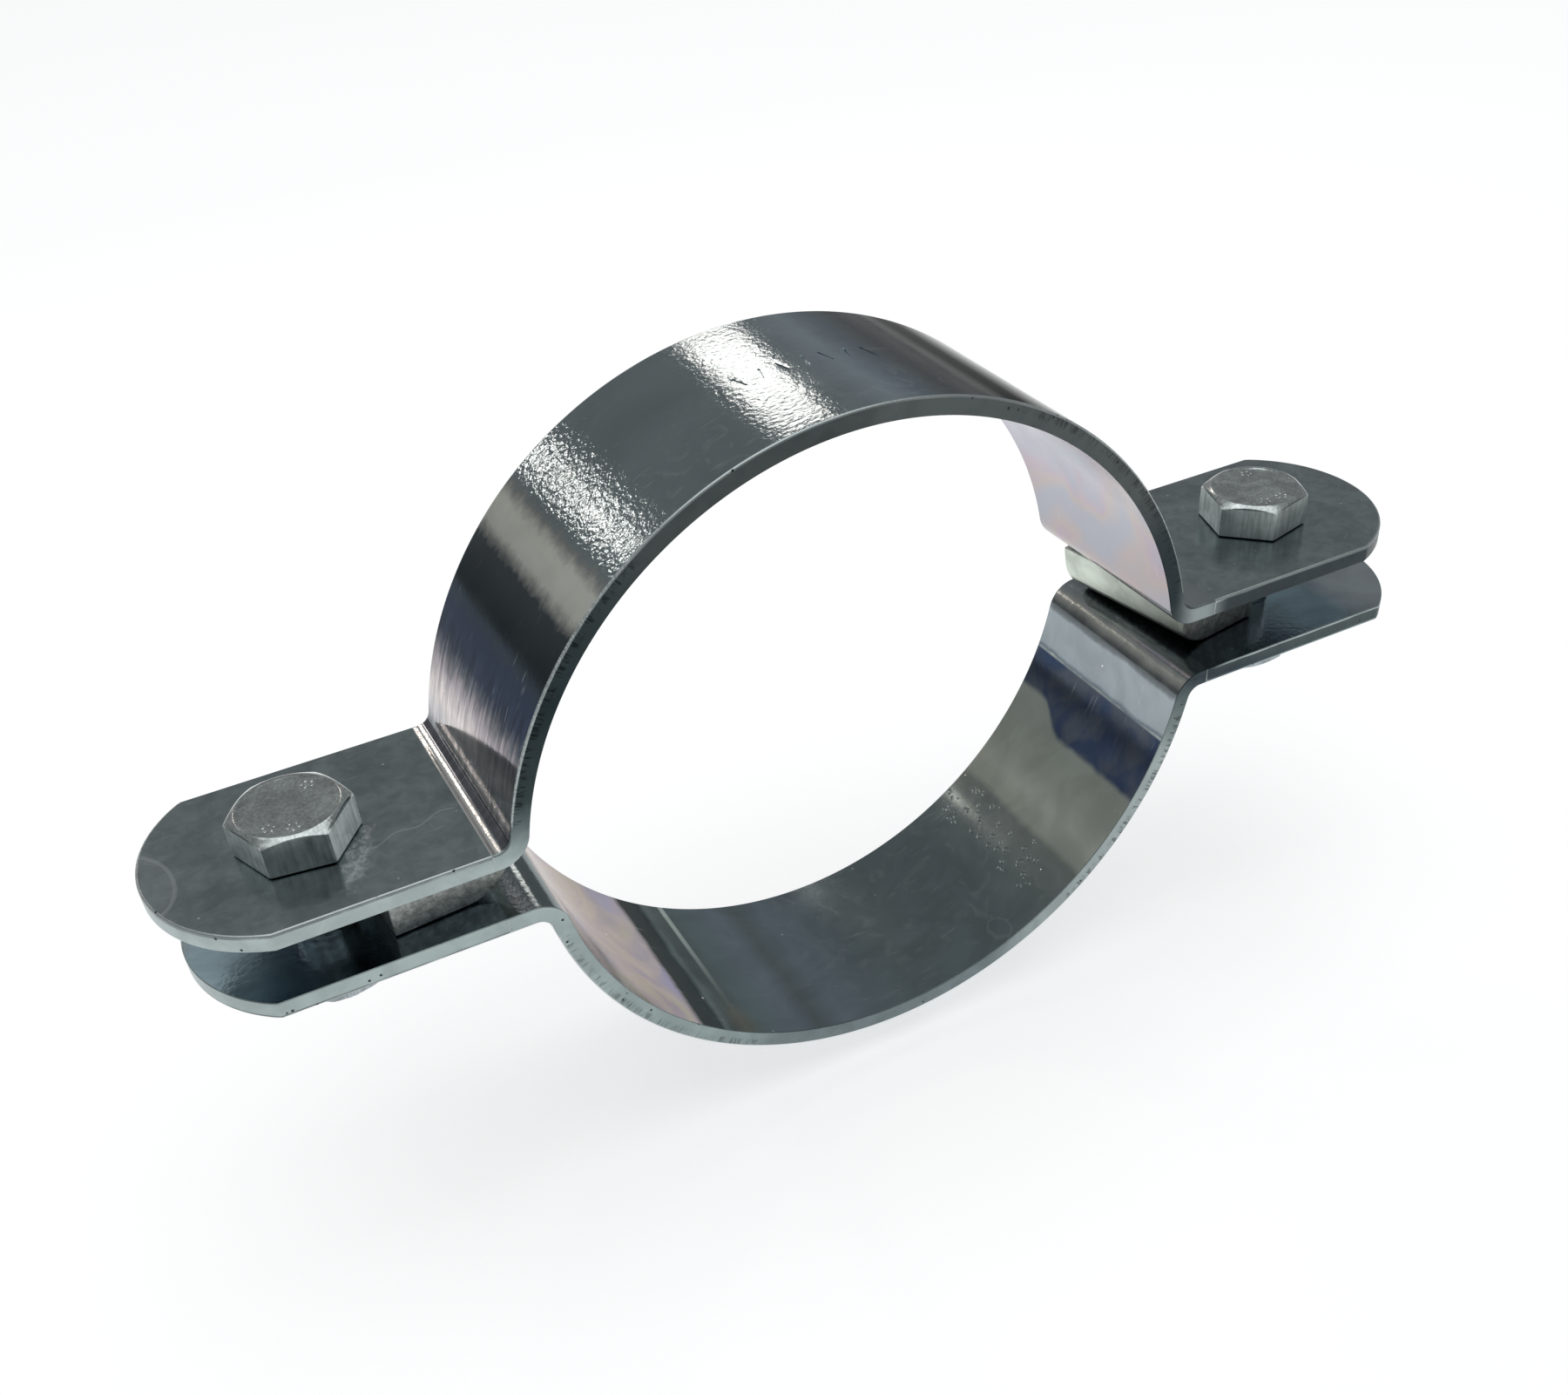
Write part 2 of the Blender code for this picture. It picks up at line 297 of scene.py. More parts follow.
WHITE = (1.0, 1.0, 1.0)
SLATE = (0.275, 0.33, 0.345)
EAR_SLATE = (0.31, 0.365, 0.375)
BLUE_SLATE = (0.26, 0.33, 0.375)
GREEN_SLATE = (0.19, 0.24, 0.25)
SILVER = (0.93, 0.94, 0.90)
BEIGE = (0.98, 1.00, 0.88)
INK = (0.035, 0.05, 0.06)
NAVY = (0.020, 0.032, 0.060)
LILAC = (0.33, 0.30, 0.33)
PINK = (0.60, 0.54, 0.53)
PALE_EDGE = (0.38, 0.44, 0.44)
SCUFF = (0.75, 0.80, 0.80)

# Painted reflections over the arcs, dark and pale bands of the surroundings that also dim the lamps'
# highlights, by degrees from the crown of each arc, positive towards -X on the upper half and towards +X
# on the lower half.
UPPER_OUTER_REFLECTIONS = (
    (-60, (0.34, 0.38, 0.39)), (-24, (0.10, 0.12, 0.12)), (-21, (0.15, 0.15, 0.15)),
    (-18, (0.19, 0.20, 0.21)), (-14.5, (0.10, 0.12, 0.13)), (-10, (0.17, 0.24, 0.29)),
    (-5.5, (0.37, 0.47, 0.52)), (-1.5, (0.30, 0.37, 0.41)), (0.5, (0.30, 0.36, 0.38)), (4, SLATE),
    (39.8, SLATE), (41, (0.36, 0.38, 0.36)), (43, BEIGE), (46.6, (0.86, 0.88, 0.78)),
    (49.2, (0.07, 0.09, 0.10)), (56, INK), (60, NAVY), (64.5, (0.022, 0.033, 0.058)),
    (66.6, (0.10, 0.11, 0.13)), (69, LILAC), (73, PINK), (77, (0.44, 0.43, 0.45)),
    (79, (0.17, 0.18, 0.20)))
LOWER_INNER_REFLECTIONS = (
    (-86, (0.20, 0.24, 0.25)), (-81.5, (0.20, 0.24, 0.25)), (-80, (0.48, 0.37, 0.33)),
    (-68, (0.44, 0.32, 0.30)), (-50, (0.38, 0.34, 0.31)), (-42, (0.36, 0.35, 0.36)),
    (-41, (0.023, 0.030, 0.031)), (-36.5, (0.030, 0.042, 0.043)), (-35.3, (0.13, 0.17, 0.17)),
    (-32, (0.17, 0.22, 0.22)), (-28, (0.21, 0.29, 0.31)), (-20, (0.27, 0.34, 0.39)),
    (-16, (0.20, 0.25, 0.26)), (-11, BLUE_SLATE), (4, GREEN_SLATE), (26, (0.20, 0.25, 0.26)),
    (40, (0.29, 0.33, 0.31)), (41.3, (0.54, 0.59, 0.51)), (45.5, (0.66, 0.72, 0.62)),
    (50, (0.53, 0.58, 0.50)), (69, (0.42, 0.46, 0.43)), (69.5, (0.10, 0.13, 0.16)),
    (70.3, (0.27, 0.31, 0.33)), (76.8, (0.30, 0.34, 0.36)), (77.6, (0.08, 0.09, 0.10)),
    (78.6, (0.16, 0.18, 0.18)), (80, (0.60, 0.62, 0.57)), (81.2, (0.36, 0.40, 0.40)),
    (82, (0.24, 0.28, 0.30)))
# Painted reflection colours by the value of a cloud noise.
UPPER_INNER_REFLECTIONS = ((0.34, (0.34, 0.38, 0.44)), (0.43, (0.37, 0.36, 0.43)), (0.50, (0.42, 0.35, 0.41)),
                    (0.56, (0.44, 0.38, 0.37)), (0.66, (0.37, 0.38, 0.44)))
PINK_REFLECTIONS = ((0.36, (0.70, 0.68, 0.95)), (0.43, (0.84, 0.76, 0.84)), (0.50, (0.96, 0.88, 0.86)),
           (0.56, (1.00, 0.95, 0.76)), (0.64, (0.76, 0.68, 0.80)))

# Painted reflection tones of the punched edges, by degrees from the crown.
UPPER_EDGE_REFLECTIONS = (
    (-86, (0.035, 0.045, 0.05)), (-80.5, (0.04, 0.05, 0.055)),
    (-78, (0.02, 0.03, 0.035)), (-65, (0.03, 0.04, 0.045)), (-55, (0.08, 0.09, 0.09)),
    (-5, (0.08, 0.09, 0.09)), (5, (0.055, 0.065, 0.065)), (35, (0.055, 0.065, 0.065)),
    (45, (0.035, 0.048, 0.05)), (58, (0.02, 0.03, 0.034)), (73, (0.035, 0.05, 0.052)),
    (77, (0.10, 0.13, 0.135)), (80, (0.25, 0.30, 0.30)), (83, PALE_EDGE), (86, PALE_EDGE))
LOWER_EDGE_REFLECTIONS = (
    (-86, (0.35, 0.41, 0.41)), (-76, (0.33, 0.39, 0.39)), (-36, (0.28, 0.34, 0.34)),
    (-20, (0.17, 0.21, 0.22)), (18, (0.17, 0.21, 0.22)), (32, (0.32, 0.37, 0.37)),
    (66, (0.32, 0.37, 0.37)), (75, (0.15, 0.19, 0.19)), (81, (0.035, 0.05, 0.06)),
    (84, (0.07, 0.09, 0.09)), (90, (0.10, 0.12, 0.12)))

# How much the skins mirror where they are seen edge-on, by degrees from the crown.
UPPER_GLANCE = ((-60, 1.0), (-35, 0.4), (-26, 0.06), (-23, 0.2), (-20, 0.52), (-17.5, 0.75),
                (-14.6, 0.8), (-11, 0.95), (-7, 1.0), (50, 1.0), (55, 0.72), (60, 0.66),
                (67, 0.62), (70, 0.8), (74, 0.95), (80, 1.0))
LOWER_GLANCE = ((-82, 0.79), (-43, 0.79), (-41, 0.58), (-36, 0.58), (-33, 0.88), (-29, 1.0))
BEND_END = 67.0 * MM             # beyond this distance from the pipe axis a surface is ear, not bend
ARC_PER_DEGREE = PIPE_RADIUS * pi / 180.0
AROUND_STRIP = (0.12, 1.0, 0.12)  # draws a noise out around the arc


def degrees_from_crown(paint, centre, up):
    """Angle around an arc, from its crown."""
    side = paint.minus(paint.x, centre[0])
    rise = paint.minus(paint.z, centre[1])
    angle = paint.math("ARCTAN2", paint.times(side, -up), paint.times(rise, up))
    return paint.times(angle, 180.0 / pi)


def wander(paint, value, size, amount, stretch=(1.0, 1.0, 1.0)):
    """Value moved up and down by noise, so that a boundary drawn with it is ragged."""
    swing = paint.minus(paint.noise(size, 3.0, 0.6, stretch=stretch), 0.5)
    return paint.plus(value, paint.times(swing, amount))


def by_side(paint, left, right):
    """One number on the left of the clamp and another on the right."""
    return paint.level(paint.x, -5.0 * MM, 5.0 * MM, left, right)


def on_ears(paint):
    """One on the flat ears, nothing on the arc and its bends."""
    return paint.level(paint.math("ABSOLUTE", paint.x), BEND_END - 0.4 * MM, BEND_END)


def skin_wear(paint, colour, amount=0.3):
    """Fine scratches along the strip and small bright specks."""
    scratch = paint.level(paint.noise(0.3 * MM, 2.0, stretch=(0.07, 1.0, 0.07)), 0.68, 0.76)
    colour = paint.mix(paint.times(scratch, amount), colour, SCUFF)
    return paint.mix(paint.times(paint.specks(3.1 * MM, 0.14, 0.10), 0.6), colour, SILVER)


def ear_marks_and_reflection(paint, colour, tip):
    """Dried water patch at the left ear's tip, and a painted reflection of the bolt head's bright side
    and a wavy stain beside its bolt.
    """
    patch = paint.ellipse(paint.x, paint.y, (tip - 1.6 * MM, 0.6 * MM), (7.0 * MM, 9.5 * MM))
    patch = wander(paint, patch, 3.0 * MM, 0.12)
    inside = paint.level(patch, 0.96, 1.0, 1.0, 0.0)
    rim = paint.window(patch, 0.95, 1.0, 0.035)
    colour = paint.mix(paint.times(inside, 0.16), colour, SCUFF)
    colour = paint.mix(paint.times(rim, 0.35), colour, SCUFF)
    # Painted reflection of the bolt head's bright side in the ear, speckled.
    across = paint.plus(paint.times(paint.x, 0.90), paint.times(paint.y, -0.43))
    along = paint.plus(paint.times(paint.x, 0.43), paint.times(paint.y, 0.90))
    flank_reflection = paint.ellipse(across, along, (-71.8 * MM, -44.8 * MM), (2.2 * MM, 8.0 * MM))
    flank_reflection = paint.level(wander(paint, flank_reflection, 1.0 * MM, 1.6), 0.5, 1.1, 1.0, 0.0)
    speckle = paint.level(paint.noise(0.45 * MM, 3.0, 0.6), 0.42, 0.56, 0.3, 1.0)
    colour = paint.mix(paint.times(paint.times(flank_reflection, speckle), 0.75), colour, (0.88, 0.90, 0.90))
    wave = paint.times(paint.math("SINE", paint.math("DIVIDE", paint.x, 1.15 * MM)), 0.55 * MM)
    track = paint.plus(paint.times(paint.plus(paint.x, 75.0 * MM), 0.21), wave)
    away = paint.math("ABSOLUTE", paint.minus(paint.plus(paint.y, 6.4 * MM), track))
    line = paint.level(away, 0.10 * MM, 0.30 * MM, 1.0, 0.0)
    line = paint.times(line, paint.window(paint.x, -83.0 * MM, -68.5 * MM, 1.0 * MM))
    return paint.mix(paint.times(line, 0.35), colour, SCUFF)


def die_mark(paint):
    """Height of the shallow groove that the bending die pressed at the foot of the left bend."""
    off = paint.math("ABSOLUTE", paint.plus(paint.x, DIE_MARK_X))
    return paint.level(off, 0.0, DIE_MARK_REACH, -DIE_MARK_DEPTH, 0.0)


def bend_foot(paint):
    """One on the highlight line at the foot of the upper left bend, where a silver base colour is painted
    to brighten the lamps' reflection.
    """
    foot = paint.window(paint.x, -DIE_MARK_X - DIE_MARK_REACH, -DIE_MARK_X + 0.8 * MM, 0.15 * MM)
    return paint.times(foot, paint.level(paint.z, 9.5 * MM, 10.0 * MM, 1.0, 0.0))


def brushed_streaks(paint, lean):
    """Colour factor of the coarse streaks low on the left of the upper arc."""
    streak = paint.noise(0.6 * MM, 3.0, 0.6, stretch=AROUND_STRIP)
    tone = paint.scale(WHITE, paint.level(streak, 0.35, 0.65, 0.78, 1.25))
    return paint.mix(paint.window(lean, 63.0, 79.0, 3.0), WHITE, tone)


def upper_reflection_bands(paint, lean):
    """Painted reflections over the upper arc: ragged bands by angle, streaks, and smudges near the crown.
    """
    streak_size = paint.level(lean, 57.0, 65.0, 0.6, 7.0)
    ragged = wander(paint, lean, 0.5 * MM, streak_size, AROUND_STRIP)
    # Painted reflection bands of the surroundings, by angle around the arc.
    film_and_reflections = paint.ramp(wander(paint, ragged, 1.2 * MM, 2.5), -70.0, 95.0, UPPER_OUTER_REFLECTIONS)
    film_and_reflections = paint.multiply(paint.cloudy(film_and_reflections, 9.0 * MM, 0.08), brushed_streaks(paint, lean))
    cloud = paint.level(paint.noise(2.2 * MM, 4.0, 0.6, warp=1.5), 0.52, 0.70)
    towards_front = paint.level(paint.y, 8.0 * MM, -16.0 * MM)
    smudge = paint.times(cloud, paint.times(paint.window(lean, -14.0, 26.0, 5.0), towards_front))
    return paint.mix(paint.times(smudge, 0.16), film_and_reflections, SCUFF)


def upper_ear(paint, tip):
    """Mottled slate top of the upper ears, with a faint bloom, and the marks and a painted reflection on
    the left one.
    """
    ear = paint.cloudy(EAR_SLATE, 8.0 * MM, 0.13, warp=1.2)
    ear = paint.cloudy(ear, 1.2 * MM, 0.10)
    bloom = paint.level(paint.noise(3.0 * MM, 4.0, 0.65, warp=1.0), 0.55, 0.72)
    return ear_marks_and_reflection(paint, paint.mix(paint.times(bloom, 0.12), ear, SCUFF), tip)


def frosting(paint, lean, foot):
    """Height of the skin's grain, coarse on two frosted bands of the upper arc."""
    frost = paint.plus(paint.times(paint.window(lean, -3.0, 13.0, 3.0), 0.050),
                       paint.times(paint.window(lean, 29.0, 39.0, 2.5), 0.115))
    frost = paint.plus(frost, paint.times(foot, 0.04))
    fine = paint.level(lean, 68.0, 76.0, 0.006, 0.002)
    fine = paint.plus(fine, paint.times(on_ears(paint), 0.003))
    return paint.times(paint.noise(0.48 * MM, 2.0, 0.55), paint.plus(frost, fine))


def upper_outer_zinc(centre, tip):
    """Top of the upper half: frosted and smoky arc under bands of painted reflection, slate ears."""
    paint = Paint("upper_outer_zinc")
    lean = degrees_from_crown(paint, centre, 1)
    paint.glance(lean, UPPER_GLANCE)
    foot = bend_foot(paint)
    colour = paint.mix(on_ears(paint), upper_reflection_bands(paint, lean), upper_ear(paint, tip))
    # Silver painted on the bend foot: a painted highlight that brightens the lamps' real reflection
    # there.
    colour = paint.mix(foot, skin_wear(paint, colour), SILVER)
    roughness = paint.cloud_level(6.0 * MM, 0.09, 0.14)
    roughness = paint.plus(roughness, paint.times(paint.plus(foot, on_ears(paint)), 0.07))
    return paint.finish(colour, roughness, paint.plus(frosting(paint, lean, foot), die_mark(paint)))


def upper_inner_zinc():
    """Pipe side of the upper half: lilac, pink and pale blue painted reflections, and slate under the
    ears.
    """
    paint = Paint("upper_inner_zinc")
    drift = paint.noise(9.0 * MM, 2.0, 0.4, stretch=(1.0, 0.6, 0.5), warp=1.2)
    film_and_reflections = paint.ramp(drift, 0.3, 0.7, UPPER_INNER_REFLECTIONS)
    film_and_reflections = paint.mix(on_ears(paint), film_and_reflections, paint.cloudy(SLATE, 8.0 * MM, 0.2))
    roughness = paint.cloud_level(5.0 * MM, 0.16, 0.26, 2.0)
    height = paint.times(paint.noise(0.5 * MM, 3.0, 0.6), 0.006)
    return paint.finish(skin_wear(paint, film_and_reflections, 0.15), roughness, height)


def pink_reflection_clouds(paint):
    """Warped pink, peach and lilac clouds of painted reflection."""
    drift = paint.noise(8.0 * MM, 3.0, 0.45, stretch=(1.0, 0.8, 1.0), warp=0.9)
    return paint.ramp(drift, 0.3, 0.7, PINK_REFLECTIONS)


def mirrored_line(paint, film_and_reflections, lean, arc):
    """Painted reflection of a pale line across the lower arc, brighter towards the back, with a warm
    patch at its front.
    """
    towards_back = paint.level(paint.y, -14.0 * MM, 20.0 * MM)
    pale = paint.mix(towards_back, (0.22, 0.27, 0.26), (0.80, 0.95, 0.88))
    film_and_reflections = paint.mix(paint.window(lean, -31.6, -31.0, 0.5), film_and_reflections, pale)
    patch = paint.ellipse(arc, paint.y, (-32.5 * MM, -17.0 * MM), (4.0 * MM, 7.0 * MM))
    patch = paint.level(patch, 0.2, 1.1, 1.0, 0.0)
    return paint.mix(paint.times(patch, 0.45), film_and_reflections, (0.34, 0.33, 0.26))


def navy_reflection(paint, film_and_reflections, lean, ragged):
    """Painted reflection of deep blue surroundings below the right bend, with a ragged shore that steps
    back from the front.
    """
    shore = paint.plus(ragged, paint.level(paint.y, 4.0 * MM, 13.0 * MM, 0.0, -4.5))
    inside = paint.times(paint.level(shore, 56.2, 57.6), paint.level(lean, 68.9, 69.4, 1.0, 0.0))
    depth = paint.level(paint.noise(4.0 * MM, 3.0, 0.5, warp=1.0), 0.35, 0.65)
    blue = paint.mix(depth, (0.08, 0.12, 0.22), (0.16, 0.19, 0.24))
    blue = paint.scale(blue, paint.level(lean, 60.0, 66.0, 1.0, 0.45))
    return paint.mix(inside, film_and_reflections, blue)


def smoke_and_stain(paint, film_and_reflections, lean, arc):
    """Smoky wisps along the bottom of the lower arc and the faint ring of a dried drop."""
    wisps = paint.level(paint.noise(3.5 * MM, 4.0, 0.6, warp=2.5), 0.52, 0.72)
    smoke = paint.times(wisps, paint.window(lean, -8.0, 40.0, 6.0))
    film_and_reflections = paint.mix(paint.times(smoke, 0.09), film_and_reflections, SCUFF)
    stain = paint.ellipse(arc, paint.y, (25.0 * MM, -16.5 * MM), (2.1 * MM, 2.8 * MM))
    rim = paint.window(wander(paint, stain, 1.6 * MM, 1.6), 0.85, 1.0, 0.12)
    return paint.mix(paint.times(rim, 0.10), film_and_reflections, SCUFF)


def lower_reflection_bands(paint, lean, arc):
    """Painted reflections over the pipe side of the lower arc, with pink and peach clouds of painted
    reflection on its left.
    """
    ragged = wander(paint, lean, 4.0 * MM, 2.0)
    # Painted reflection bands of the surroundings, by angle around the arc.
    film_and_reflections = paint.ramp(ragged, -90.0, 90.0, LOWER_INNER_REFLECTIONS)
    tint = paint.mix(paint.window(lean, -80.0, -42.0, 1.0), WHITE, pink_reflection_clouds(paint))
    film_and_reflections = mirrored_line(paint, paint.multiply(film_and_reflections, tint), lean, arc)
    film_and_reflections = paint.cloudy(navy_reflection(paint, film_and_reflections, lean, ragged), 7.0 * MM, 0.08, warp=1.5)
    return smoke_and_stain(paint, film_and_reflections, lean, arc)


def lower_ear(paint):
    """Blue-grey top of the lower ears, paler towards the tips and darker on the right."""
    reach = wander(paint, paint.math("ABSOLUTE", paint.x), 6.0 * MM, 10.0 * MM)
    towards_tip = paint.level(reach, 99.0 * MM, 108.0 * MM)
    ear = paint.mix(towards_tip, (0.30, 0.37, 0.43), (0.62, 0.70, 0.74))
    return paint.cloudy(paint.scale(ear, by_side(paint, 1.0, 0.6)), 9.0 * MM, 0.2, warp=1.0)


def lower_inner_zinc(centre):
    """Pipe side of the lower half and the tops of its ears."""
    paint = Paint("lower_inner_zinc")
    lean = degrees_from_crown(paint, centre, -1)
    paint.glance(lean, LOWER_GLANCE)
    arc = paint.times(lean, ARC_PER_DEGREE)
    colour = paint.mix(on_ears(paint), lower_reflection_bands(paint, lean, arc), lower_ear(paint))
    wet = paint.times(paint.window(lean, 32.5, 38.5, 1.5), paint.level(paint.y, -14.0 * MM, -10.0 * MM))
    drops = paint.times(paint.specks(1.7 * MM, 0.6, 0.40), wet)
    rolled = paint.level(paint.math("ABSOLUTE", lean), 78.5, 79.5)
    grain = paint.plus(paint.times(rolled, 0.03), 0.005)
    height = paint.plus(paint.times(paint.noise(0.5 * MM, 3.0, 0.6), grain), paint.times(drops, 0.30))
    roughness = paint.cloud_level(6.0 * MM, 0.10, 0.17)
    return paint.finish(skin_wear(paint, colour, 0.15), roughness, height)


def lower_outer_zinc():
    """Underside of the lower half."""
    paint = Paint("lower_outer_zinc")
    film_and_reflections = paint.cloudy((0.42, 0.46, 0.48), 10.0 * MM, 0.25, warp=1.2)
    roughness = paint.cloud_level(6.0 * MM, 0.14, 0.24)
    height = paint.times(paint.noise(0.45 * MM, 3.0, 0.6), 0.015)
    return paint.finish(skin_wear(paint, film_and_reflections), roughness, height)


def edge_depth(paint, centre, up, ears):
    """Distance through the strip's thickness from its pipe side."""
    ear = on_ears(paint)
    radial = paint.length(paint.minus(paint.x, centre[0]), paint.minus(paint.z, centre[1]))
    on_arc = paint.minus(radial, PIPE_RADIUS)
    on_ear = paint.minus(paint.times(paint.z, up), by_side(paint, ears[0], ears[1]))
    return paint.plus(paint.times(on_arc, paint.minus(1.0, ear)), paint.times(on_ear, ear))


def shear_teeth(paint, lean, depth):
    """Fine ridges that the punch left through the thickness of the strip."""
    along = paint.plus(paint.times(lean, ARC_PER_DEGREE), paint.times(paint.x, on_ears(paint)))
    place = paint.add("ShaderNodeCombineXYZ", X=along, Y=paint.times(depth, 0.12)).outputs[0]
    teeth = paint.add("ShaderNodeTexNoise", Vector=place, Scale=2400.0, Detail=3.0, Roughness=0.6)
    return paint.level(teeth.outputs[0], 0.47, 0.62)


def painted_edge_highlight(paint, colour, depth, up):
    """Painted highlight on the right: at the upper half's bend, and along the rim of the lower half's
    ear.
    """
    if up > 0:
        shine = paint.times(paint.window(paint.x, 63.0 * MM, 64.5 * MM, 5.5 * MM), 0.6)
    else:
        rim = paint.level(wander(paint, depth, 2.0 * MM, 0.4 * MM), 0.25 * MM, 0.5 * MM, 1.0, 0.0)
        shine = paint.times(rim, paint.level(paint.x, 67.0 * MM, 73.0 * MM))
    return paint.mix(shine, colour, PALE_EDGE)


def arris_light_and_shade(paint, colour, depth, plain):
    """Pale painted highlight along the arris that the punch rolled over beside the outer skin; in noisy
    patches the ears' edge below it is painted brighter on the right and darker on the left.
    """
    arris = paint.times(paint.window(depth, 2.5 * MM, 2.75 * MM, 0.15 * MM), plain)
    arris_patches = paint.level(paint.times(arris, paint.noise(4.0 * MM, 3.0, 0.6)), 0.25, 0.6)
    # Painted light on the right ears' arris patches, painted shade on the left ones.
    change = paint.times(paint.times(arris_patches, on_ears(paint)), by_side(paint, -0.55, 2.0))
    colour = paint.scale(colour, paint.plus(1.0, change))
    pale = paint.scale((0.42, 0.46, 0.46), paint.level(arris_patches, 0.0, 1.0, 1.2, 0.8))
    return paint.mix(paint.times(paint.level(depth, 2.60 * MM, 2.78 * MM), plain), colour, pale)


def sheared_zinc(name, centre, up, tones, ears):
    """Punched edge of the strip: painted reflection tones by degrees from the crown, with pits and shear
    marks.
    """
    paint = Paint(name)
    lean = degrees_from_crown(paint, centre, up)
    depth = edge_depth(paint, centre, up, ears)
    colour = paint.ramp(wander(paint, lean, 2.5 * MM, 3.0), -95.0, 95.0, tones)
    colour = paint.cloudy(painted_edge_highlight(paint, colour, depth, up), 3.0 * MM, 0.10)
    teeth = shear_teeth(paint, lean, depth)
    below_bends = paint.level(paint.math("ABSOLUTE", lean), 76.0, 77.5, 1.0, 0.0)
    plain = paint.plus(on_ears(paint), below_bends)
    torn = paint.plus(paint.times(paint.window(lean, 38.0, 77.0, 4.0), 0.75),
                      paint.times(paint.window(lean, -79.0, -28.0, 5.0), 0.55))
    torn = paint.times(paint.times(torn, plain), paint.level(depth, 1.0 * MM, 1.8 * MM))
    colour = paint.scale(colour, paint.level(paint.times(teeth, torn), 0.0, 1.0, 1.0, 0.3))
    pits = paint.specks(0.9 * MM, 0.05, 0.36)
    colour = paint.mix(pits, arris_light_and_shade(paint, colour, depth, plain), (0.03, 0.035, 0.035))
    ridges = paint.times(teeth, paint.plus(paint.times(torn, 0.06), 0.010))
    return paint.finish(colour, 0.36, paint.minus(ridges, paint.times(pits, 0.02)))


def flank_masks(paint, flanks):
    """Mask and painted brightness of each listed side of a hexagon head, below its chamfer."""
    if not flanks:
        return []
    compass = paint.times(paint.math("ARCTAN2", paint.y, paint.x), 180.0 / pi)
    below_chamfer = paint.level(paint.z, HEAD_HEIGHT - 0.9 * MM, HEAD_HEIGHT - 0.7 * MM, 1.0, 0.0)
    outside = paint.level(paint.length(paint.x, paint.y), 8.0 * MM, 8.3 * MM)
    on_flank = paint.times(below_chamfer, outside)
    masks = []
    for middle, brightness in flanks:
        turned = paint.math("ABSOLUTE", paint.minus(compass, middle))
        masks.append((paint.times(paint.level(turned, 29.0, 30.0, 1.0, 0.0), on_flank), brightness))
    return masks


def fastener_zinc(name, colour, seed, flanks=()):
    """Bright plated bolt, nut or washer; flanks paints light and shade on the sides of a head one by one.
    """
    paint = Paint(name)
    shift = (seed, 0.37 * seed, 0.0)
    streak = paint.noise(0.25 * MM, 3.0, 0.6, stretch=(1.0, 1.0, 0.06), shift=shift)
    colour = paint.cloudy(colour, 2.6 * MM, 0.18, shift, 1.0)
    colour = paint.scale(colour, paint.level(streak, 0.35, 0.65, 0.82, 1.14))
    roughness = paint.cloud_level(3.0 * MM, 0.16, 0.26, shift=shift)
    metallic = 1.0
    for mask, brightness in flank_masks(paint, flanks):
        colour = paint.scale(colour, paint.level(mask, 0.0, 1.0, 1.0, brightness))
        if brightness > LIT_ROUGHER_ABOVE:
            roughness = paint.plus(roughness, paint.times(mask, 0.25))
        if brightness > LIT_DULLER_ABOVE:
            metallic = paint.minus(metallic, paint.times(mask, 0.8))
    paint.put(paint.shader.inputs["Metallic"], metallic)
    grain = paint.times(paint.noise(0.5 * MM, 3.0, 0.6, shift=shift), 0.009)
    return paint.finish(colour, roughness, paint.plus(paint.times(streak, 0.006), grain))


def spacer_zinc(side, seed):
    """Speckled plating of the spacers, smoother and paler on the face towards the pipe."""
    paint = Paint("spacer_zinc_" + side)
    tone = SPACER_TONES[side]
    shift = (seed, 0.0, 0.0)
    grains = paint.noise(0.5 * MM, 4.0, 0.7, shift=shift)
    outwards = paint.times(paint.x, TURNS[side]["outward"])
    pipe_face = -SPACER_LENGTH / 2
    pipe_side = paint.level(outwards, pipe_face + 1.6 * MM, pipe_face + 2.4 * MM, 1.0, 0.0)
    body = paint.scale((0.95, 1.0, 0.95), paint.level(grains, 0.35, 0.7, 0.7 * tone, 1.5 * tone))
    pale = paint.scale((0.76, 0.82, 0.74), paint.level(paint.y, -13.0 * MM, 9.0 * MM, 0.5, 1.0))
    colour = paint.cloudy(paint.mix(pipe_side, body, pale), 4.0 * MM, 0.15, shift)
    roughness = paint.level(pipe_side, 0.0, 1.0, 0.42, 0.55)
    return paint.finish(colour, roughness, paint.times(grains, 0.05))


# ---- meshes

def add_object(name, builder, materials):
    """Turn a bmesh into an object."""
    mesh = bpy.data.meshes.new(name)
    builder.to_mesh(mesh)
    builder.free()
    for material in materials:
        mesh.materials.append(material)
    thing = bpy.data.objects.new(name, mesh)
    bpy.context.scene.collection.objects.link(thing)
    return thing


def place_piece(name, builder, materials):
    """Turn a bmesh into a smooth-shaded object."""
    bmesh.ops.recalc_face_normals(builder, faces=builder.faces)
    piece = add_object(name, builder, materials)
    piece.data.shade_smooth()
    piece.data.set_sharp_from_angle(angle=SHARP_ANGLE)
    weights = piece.modifiers.new("face weights", "WEIGHTED_NORMAL")
    weights.keep_sharp = True
    return piece


def register(piece, body, node):
    """Put the piece under the empty of the body that carries it, and hide the CAD node it stands for."""
    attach(piece, body)
    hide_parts(node)


def quarter_turn(steps):
    """Angles of a quarter circle."""
    return [0.5 * pi * step / steps for step in range(steps + 1)]


